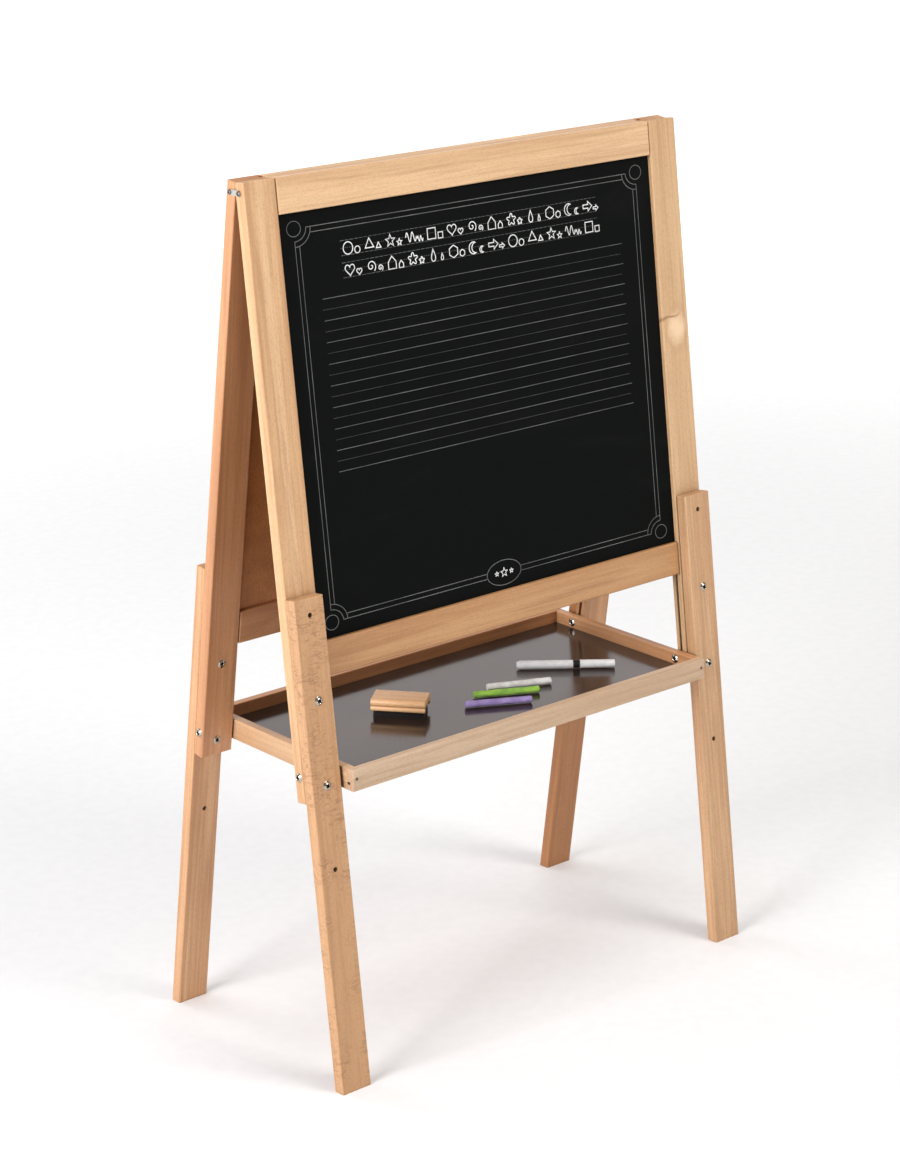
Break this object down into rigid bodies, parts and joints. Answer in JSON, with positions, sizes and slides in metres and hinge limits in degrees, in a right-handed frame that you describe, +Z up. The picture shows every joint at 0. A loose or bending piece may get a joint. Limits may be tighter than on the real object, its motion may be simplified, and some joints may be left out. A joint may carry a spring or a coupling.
{
  "type": "kids easel",
  "caption": "Double-sided wooden easel for children: ruled blackboard in front, magnetic whiteboard behind, folding A-frame on bolted legs, tray with chalk, marker and eraser.",
  "frame": {"origin": "centre of the footprint, on the floor", "axes": "+Z up, +X across the easel, -Y the side that the blackboard faces, +Y the side that the whiteboard faces"},
  "size_m": [0.6068, 0.3014, 0.9408],
  "materials": {
    "beech": "clear satin lacquer on straight-grained beech",
    "blackboard": "matt black writing surface on hardboard, brown at the back, with a thin printed border and writing lines",
    "hardboard": "smooth brown hardboard",
    "white_enamel": "gloss white dry-wipe enamel",
    "tray_sheet": "dark brown-grey satin film on hardboard",
    "nickel": "bright nickel plate",
    "handle_wood": "unvarnished moulded softwood",
    "felt": "dark pressed felt",
    "chalk_white": "dusty matt chalk",
    "chalk_green": "dusty matt chalk",
    "chalk_purple": "dusty matt chalk",
    "marker_white": "moulded gloss plastic",
    "marker_black": "moulded black plastic",
    "nib_felt": "ink-soaked fibre nib"
  },
  "bodies": {
    "front_frame": {"front_stile_left": "beech", "front_stile_right": "beech", "front_top_rail": "beech", "front_bottom_rail": "beech", "blackboard": "blackboard", "front_leg_left": "beech", "front_leg_right": "beech", "front_leg_bolts": "nickel", "front_leg_nuts": "nickel", "front_link_screws": "nickel", "front_tray_bolts": "nickel", "front_tray_sleeves": "nickel", "front_tray_washers": "nickel"},
    "top_links": {"top_link_left": "nickel", "top_link_right": "nickel"},
    "back_frame": {"back_stile_left": "beech", "back_stile_right": "beech", "back_top_rail": "beech", "back_bottom_rail": "beech", "whiteboard_backing": "hardboard", "whiteboard_steel": "white_enamel", "back_leg_left": "beech", "back_leg_right": "beech", "back_leg_bolts": "nickel", "back_leg_nuts": "nickel", "back_link_screws": "nickel", "back_tray_bolts": "nickel"},
    "tray": {"tray_front_rail": "beech", "tray_back_rail": "beech", "tray_end_rail_left": "beech", "tray_end_rail_right": "beech", "tray_sheet": "tray_sheet", "tray_nails": "nickel", "back_tray_sleeves": "nickel", "back_tray_washers": "nickel"},
    "eraser": {"eraser_handle": "handle_wood", "eraser_felt": "felt"},
    "chalk_white": {"chalk_white": "chalk_white"},
    "chalk_green": {"chalk_green": "chalk_green"},
    "chalk_purple": {"chalk_purple": "chalk_purple"},
    "marker": {"marker_barrel": "marker_white", "marker_grip": "marker_black", "marker_nib": "nib_felt"},
    "marker_cap": {"marker_cap": "marker_white"}
  },
  "joints": [
    {"name": "front_pivot", "type": "hinge", "parent": "front_frame", "child": "top_links", "pos_m": [0, -0.0072, 0.92914], "axis": [-1, 0, 0], "range_deg": [0, 7.2]},
    {"name": "back_fold", "type": "hinge", "parent": "top_links", "child": "back_frame", "pos_m": [0, 0.0072, 0.92914], "axis": [-1, 0, 0], "range_deg": [0, 7.2]},
    {"name": "tray_swing", "type": "hinge", "parent": "front_frame", "child": "tray", "pos_m": [0, -0.08512, 0.33725], "axis": [-1, 0, 0], "range_deg": [0, 97.5]},
    {"name": "eraser_lift", "type": "slide", "parent": "tray", "child": "eraser", "axis": [0, 0, 1], "range_m": [0, 0.06]},
    {"name": "chalk_white_lift", "type": "slide", "parent": "tray", "child": "chalk_white", "axis": [0, 0, 1], "range_m": [0, 0.06]},
    {"name": "chalk_green_lift", "type": "slide", "parent": "tray", "child": "chalk_green", "axis": [0, 0, 1], "range_m": [0, 0.06]},
    {"name": "chalk_purple_lift", "type": "slide", "parent": "tray", "child": "chalk_purple", "axis": [0, 0, 1], "range_m": [0, 0.06]},
    {"name": "marker_lift", "type": "slide", "parent": "tray", "child": "marker", "axis": [0, 0, 1], "range_m": [0, 0.06]},
    {"name": "cap_pull", "type": "slide", "parent": "marker", "child": "marker_cap", "axis": [0.7837, -0.6211, 0], "range_m": [0, 0.032]}
  ],
  "couplings": [
    {"joint": "front_pivot", "follows": "back_fold", "ratio": 1}
  ]
}
